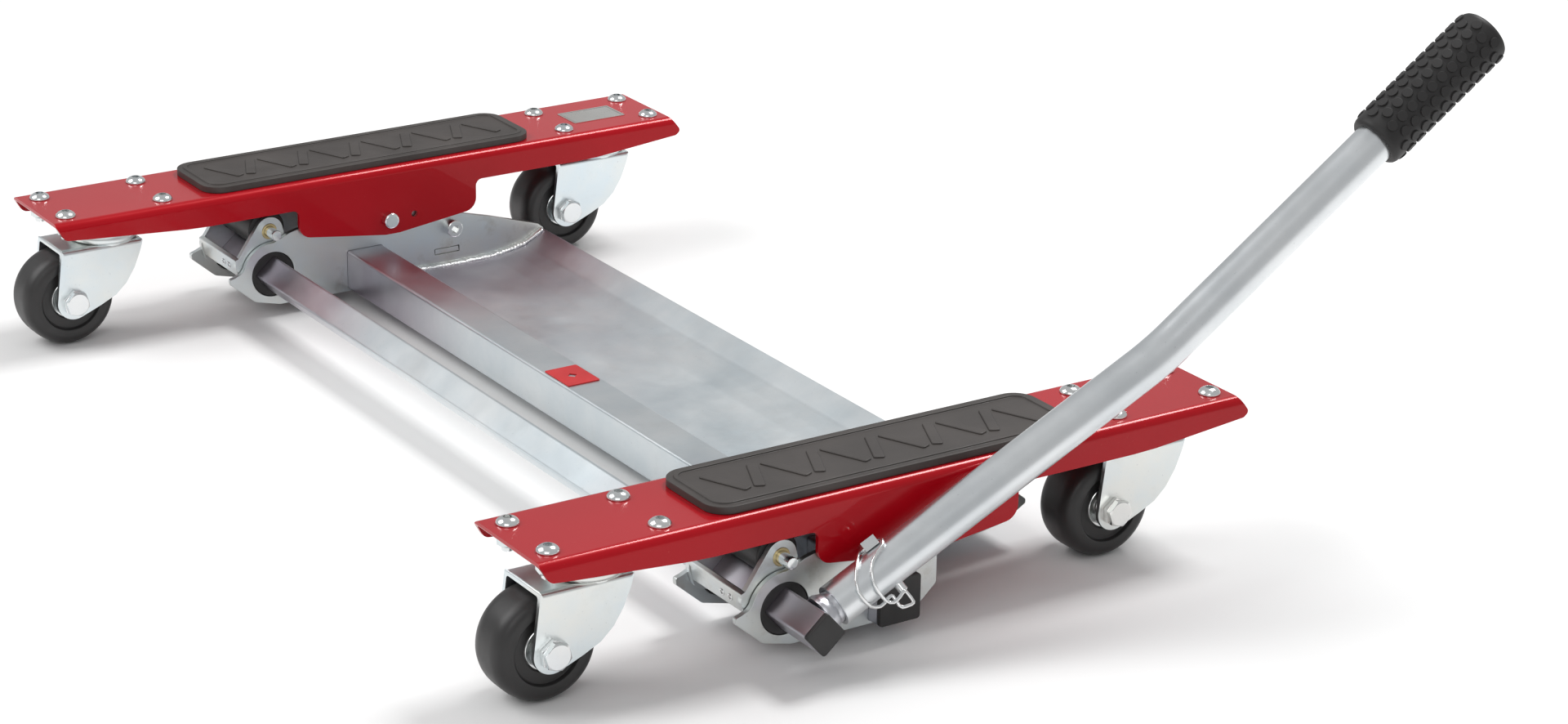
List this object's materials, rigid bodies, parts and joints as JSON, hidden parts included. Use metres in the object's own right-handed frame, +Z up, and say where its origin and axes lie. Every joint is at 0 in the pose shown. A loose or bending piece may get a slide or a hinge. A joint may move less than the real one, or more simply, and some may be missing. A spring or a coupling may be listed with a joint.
{
  "type": "motorcycle centre-stand mover",
  "caption": "Low wheeled dolly for shunting a parked motorcycle: two castor beams carry a hinged deck that a lever and crank lift clear of the floor.",
  "frame": {"origin": "on the floor, under the middle of the bounding box", "axes": "+X along the beams towards the grip end, +Y across the deck from the lever side to the far beam, +Z up"},
  "size_m": [0.6994, 0.8226, 0.3372],
  "materials": {
    "red_paint": "glossy powder coat",
    "zinc": "bright zinc plate",
    "zinc_tube": "satin zinc plate",
    "bright_steel": "polished",
    "brass": "plain",
    "black_rubber": "matte",
    "wheel_black": "satin",
    "black_plastic": "matte",
    "weld": "as welded, painted silver",
    "marker_red": "gloss",
    "plate_silver": "satin"
  },
  "bodies": {
    "near_beam": {"near_channel": "red_paint", "near_pad": "black_rubber", "near_slide_block": "black_plastic", "near_castor_plates": "zinc", "near_button_screws": "bright_steel", "near_lock_nuts": "zinc", "near_pivot_pin": "bright_steel"},
    "far_beam": {"far_channel": "red_paint", "far_pad": "black_rubber", "far_slide_block": "black_plastic", "far_castor_plates": "zinc", "far_button_screws": "bright_steel", "far_lock_nuts": "zinc", "far_pivot_pin": "bright_steel", "far_nameplate": "plate_silver"},
    "deck_frame": {"near_outer_plate": "zinc", "near_inner_plate": "zinc", "far_inner_plate": "zinc", "far_outer_plate": "zinc", "cross_tube": "zinc", "tube_caps": "black_plastic", "deck_sheet": "zinc", "deck_welds": "weld", "plate_screws": "bright_steel", "plate_nuts": "zinc", "plate_tabs": "zinc", "tube_marker": "marker_red"},
    "lever": {"shaft": "zinc", "shaft_bushes": "black_plastic", "shaft_caps": "black_plastic", "near_yoke": "zinc", "far_yoke": "zinc", "crank_pins": "bright_steel", "pin_bushes": "brass", "yoke_screws": "bright_steel", "handle_stub": "zinc", "handle_tube": "zinc_tube", "grip": "black_rubber", "lock_pin": "bright_steel"},
    "near_roller": {"near_roller": "black_plastic"},
    "far_roller": {"far_roller": "black_plastic"},
    "pin_bail": {"pin_bail": "bright_steel"},
    "near_left_castor": {"nl_fork": "zinc", "nl_axle_bolt": "bright_steel"},
    "near_left_wheel": {"nl_wheel": "wheel_black", "nl_bearings": "bright_steel"},
    "near_right_castor": {"nr_fork": "zinc", "nr_axle_bolt": "bright_steel"},
    "near_right_wheel": {"nr_wheel": "wheel_black", "nr_bearings": "bright_steel"},
    "far_left_castor": {"fl_fork": "zinc", "fl_axle_bolt": "bright_steel"},
    "far_left_wheel": {"fl_wheel": "wheel_black", "fl_bearings": "bright_steel"},
    "far_right_castor": {"fr_fork": "zinc", "fr_axle_bolt": "bright_steel"},
    "far_right_wheel": {"fr_wheel": "wheel_black", "fr_bearings": "bright_steel"}
  },
  "joints": [
    {"name": "deck_tilt", "type": "hinge", "parent": "near_beam", "child": "deck_frame", "pos_m": [-0.07048, 0.01737, 0.061], "axis": [0, 1, 0], "range_deg": [0, 8.1]},
    {"name": "far_beam_level", "type": "hinge", "parent": "deck_frame", "child": "far_beam", "pos_m": [-0.07048, 0.36287, 0.061], "axis": [0, -1, 0], "range_deg": [0, 8.1]},
    {"name": "lever_turn", "type": "hinge", "parent": "deck_frame", "child": "lever", "pos_m": [-0.16478, 0.01737, 0.0332], "axis": [0, -1, 0], "range_deg": [0, 66]},
    {"name": "near_roller_spin", "type": "hinge", "parent": "lever", "child": "near_roller", "pos_m": [-0.16478, -0.32813, 0.0652], "axis": [0, 1, 0], "continuous": true},
    {"name": "far_roller_spin", "type": "hinge", "parent": "lever", "child": "far_roller", "pos_m": [-0.16478, 0.36287, 0.0652], "axis": [0, 1, 0], "continuous": true},
    {"name": "pin_bail_swing", "type": "hinge", "parent": "lever", "child": "pin_bail", "pos_m": [-0.11646, -0.38067, 0.069], "axis": [-0.9033, 0, -0.4289], "range_deg": [0, 100]},
    {"name": "near_left_swivel", "type": "hinge", "parent": "near_beam", "child": "near_left_castor", "pos_m": [-0.28223, -0.32813, 0.081], "axis": [0, 0, 1], "continuous": true},
    {"name": "near_left_spin", "type": "hinge", "parent": "near_left_castor", "child": "near_left_wheel", "pos_m": [-0.31523, -0.32813, 0.0345], "axis": [0, 1, 0], "continuous": true},
    {"name": "near_right_swivel", "type": "hinge", "parent": "near_beam", "child": "near_right_castor", "pos_m": [0.12727, -0.32813, 0.081], "axis": [0, 0, 1], "continuous": true},
    {"name": "near_right_spin", "type": "hinge", "parent": "near_right_castor", "child": "near_right_wheel", "pos_m": [0.09427, -0.32813, 0.0345], "axis": [0, 1, 0], "continuous": true},
    {"name": "far_left_swivel", "type": "hinge", "parent": "far_beam", "child": "far_left_castor", "pos_m": [-0.28223, 0.36287, 0.081], "axis": [0, 0, 1], "continuous": true},
    {"name": "far_left_spin", "type": "hinge", "parent": "far_left_castor", "child": "far_left_wheel", "pos_m": [-0.31523, 0.36287, 0.0345], "axis": [0, 1, 0], "continuous": true},
    {"name": "far_right_swivel", "type": "hinge", "parent": "far_beam", "child": "far_right_castor", "pos_m": [0.12727, 0.36287, 0.081], "axis": [0, 0, 1], "continuous": true},
    {"name": "far_right_spin", "type": "hinge", "parent": "far_right_castor", "child": "far_right_wheel", "pos_m": [0.09427, 0.36287, 0.0345], "axis": [0, 1, 0], "continuous": true}
  ],
  "couplings": [
    {"joint": "deck_tilt", "follows": "lever_turn", "ratio": 0.1212},
    {"joint": "far_beam_level", "follows": "lever_turn", "ratio": 0.1212}
  ]
}
